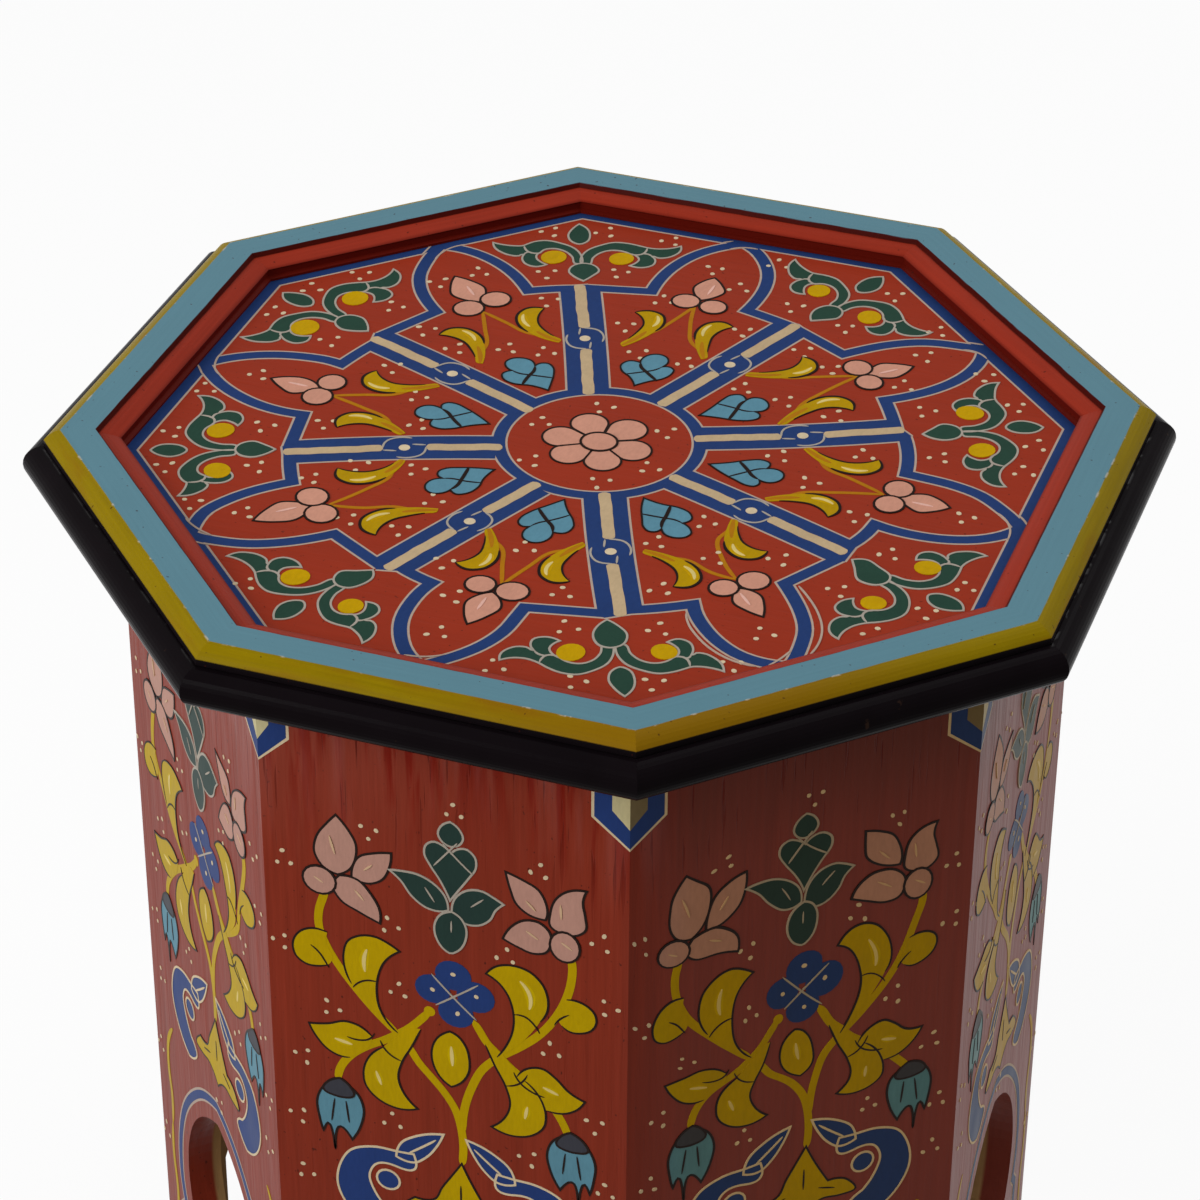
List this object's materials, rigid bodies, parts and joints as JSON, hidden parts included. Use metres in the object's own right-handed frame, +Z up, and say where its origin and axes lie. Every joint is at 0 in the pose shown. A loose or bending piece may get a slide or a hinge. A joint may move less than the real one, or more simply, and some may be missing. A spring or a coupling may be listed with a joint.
{
  "type": "stool",
  "caption": "Octagonal painted wooden stool: a framed top with a sunk painted field on mitred side boards cut with Moorish arches.",
  "frame": {"origin": "on the floor under the middle of the seat", "axes": "+Z up, -Y square to side board 1, +X to the right when side board 1 is seen from the front; the side boards are numbered counter-clockwise from above"},
  "size_m": [0.397, 0.397, 0.46],
  "materials": {
    "field_paint": "brick-red lacquered paint with painted flowers and scrolls",
    "panel_paint": "dark red lacquered paint with painted flowers and corner brackets",
    "rim_paint": "grey-blue paint between a red inner band and a yellow bevel, worn",
    "edge_paint": "glossy black paint",
    "bare_wood": "bare softwood",
    "screw_steel": "dull steel"
  },
  "bodies": {
    "root": {"top_board": "field_paint", "side_panel_1": "panel_paint", "side_panel_2": "panel_paint", "side_panel_3": "panel_paint", "side_panel_4": "panel_paint", "side_panel_5": "panel_paint", "side_panel_6": "panel_paint", "side_panel_7": "panel_paint", "side_panel_8": "panel_paint", "rim_moulding_1": "rim_paint", "rim_moulding_2": "rim_paint", "rim_moulding_3": "rim_paint", "rim_moulding_4": "rim_paint", "rim_moulding_5": "rim_paint", "rim_moulding_6": "rim_paint", "rim_moulding_7": "rim_paint", "rim_moulding_8": "rim_paint", "edge_moulding_1": "edge_paint", "edge_moulding_2": "edge_paint", "edge_moulding_3": "edge_paint", "edge_moulding_4": "edge_paint", "edge_moulding_5": "edge_paint", "edge_moulding_6": "edge_paint", "edge_moulding_7": "edge_paint", "edge_moulding_8": "edge_paint", "corner_block_1": "bare_wood", "corner_block_2": "bare_wood", "corner_block_3": "bare_wood", "corner_block_4": "bare_wood", "corner_block_5": "bare_wood", "corner_block_6": "bare_wood", "corner_block_7": "bare_wood", "corner_block_8": "bare_wood", "block_screw_1": "screw_steel", "block_screw_2": "screw_steel", "block_screw_3": "screw_steel", "block_screw_4": "screw_steel", "block_screw_5": "screw_steel", "block_screw_6": "screw_steel", "block_screw_7": "screw_steel", "block_screw_8": "screw_steel", "rim_screw_1": "screw_steel", "rim_screw_2": "screw_steel", "rim_screw_3": "screw_steel", "rim_screw_4": "screw_steel", "rim_screw_5": "screw_steel", "rim_screw_6": "screw_steel", "rim_screw_7": "screw_steel", "rim_screw_8": "screw_steel", "rim_screw_9": "screw_steel", "rim_screw_10": "screw_steel", "rim_screw_11": "screw_steel", "rim_screw_12": "screw_steel", "rim_screw_13": "screw_steel", "rim_screw_14": "screw_steel", "rim_screw_15": "screw_steel", "rim_screw_16": "screw_steel"}
  },
  "joints": []
}
